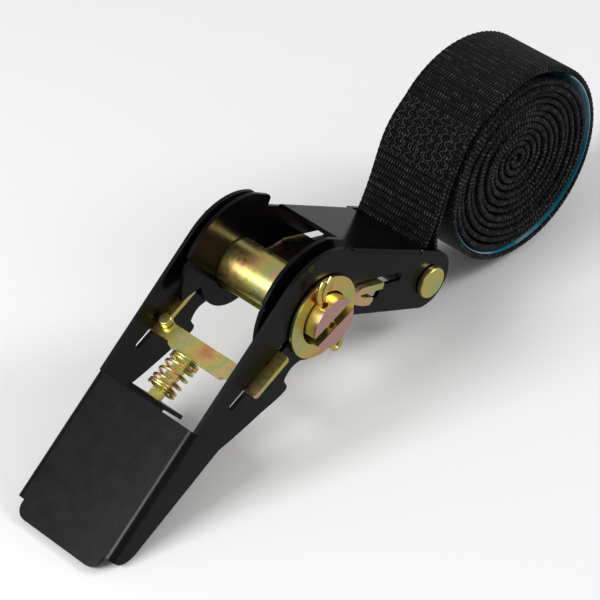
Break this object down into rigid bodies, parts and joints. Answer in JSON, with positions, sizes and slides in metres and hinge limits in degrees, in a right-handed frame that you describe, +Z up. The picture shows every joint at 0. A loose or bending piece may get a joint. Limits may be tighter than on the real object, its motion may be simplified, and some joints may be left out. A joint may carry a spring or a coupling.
{
  "type": "ratchet tie down",
  "caption": "Ratchet tie down: lever handle, pressed frame, split take-up spindle and a strap rolled up beside its anchor bolt.",
  "frame": {"origin": "on the floor, under the middle of the object's bounding box", "axes": "+X from the handle's foot towards the rolled strap, along the strap's length; +Y across the webbing, away from the bolt head; +Z up"},
  "size_m": [0.2024, 0.046, 0.0653],
  "materials": {
    "frame_paint": "gloss black",
    "handle_paint": "semi-gloss black",
    "yellow_zinc": "yellow zinc plated, bright",
    "spring_wire": "drawn wire",
    "plain_steel": "turned",
    "webbing": "woven polyester"
  },
  "bodies": {
    "frame": {"frame_channel": "frame_paint", "anchor_bolt": "yellow_zinc", "anchor_nut": "yellow_zinc", "anchor_bush": "plain_steel", "lock_pawl_spring": "spring_wire"},
    "handle": {"handle_channel": "handle_paint", "drive_pawl_spring": "spring_wire"},
    "drive_pawl": {"drive_pawl": "yellow_zinc", "drive_pawl_stud_near": "yellow_zinc", "drive_pawl_stud_far": "yellow_zinc"},
    "spindle": {"spindle_half_front": "yellow_zinc", "spindle_half_back": "yellow_zinc", "ratchet_wheel_near": "frame_paint", "ratchet_wheel_far": "frame_paint", "washer_near": "yellow_zinc", "washer_far": "yellow_zinc", "cotter_pin_near": "yellow_zinc", "cotter_pin_far": "yellow_zinc"},
    "lock_pawl": {"lock_pawl": "yellow_zinc"},
    "strap": {"strap_run": "webbing", "strap_roll": "webbing"}
  },
  "joints": [
    {"name": "handle_hinge", "type": "hinge", "parent": "frame", "child": "handle", "pos_m": [-0.02013, 0, 0.03791], "axis": [0, -1, 0], "range_deg": [-60, 120]},
    {"name": "spindle_spin", "type": "hinge", "parent": "frame", "child": "spindle", "pos_m": [-0.02013, 0, 0.03791], "axis": [0, -1, 0], "continuous": true},
    {"name": "drive_pawl_slide", "type": "slide", "parent": "handle", "child": "drive_pawl", "axis": [-0.9188, 0, -0.3947], "range_m": [-0.0024, 0.0055], "stiffness_N_per_m": 1200, "deforming": ["drive_pawl_spring"]},
    {"name": "lock_pawl_slide", "type": "slide", "parent": "frame", "child": "lock_pawl", "axis": [0.9288, 0, -0.3706], "range_m": [0, 0.0045], "stiffness_N_per_m": 900, "deforming": ["lock_pawl_spring"]},
    {"name": "strap_swing", "type": "hinge", "parent": "frame", "child": "strap", "pos_m": [0.02766, 0, 0.01757], "axis": [0, -1, 0], "range_deg": [-8, 8]}
  ]
}
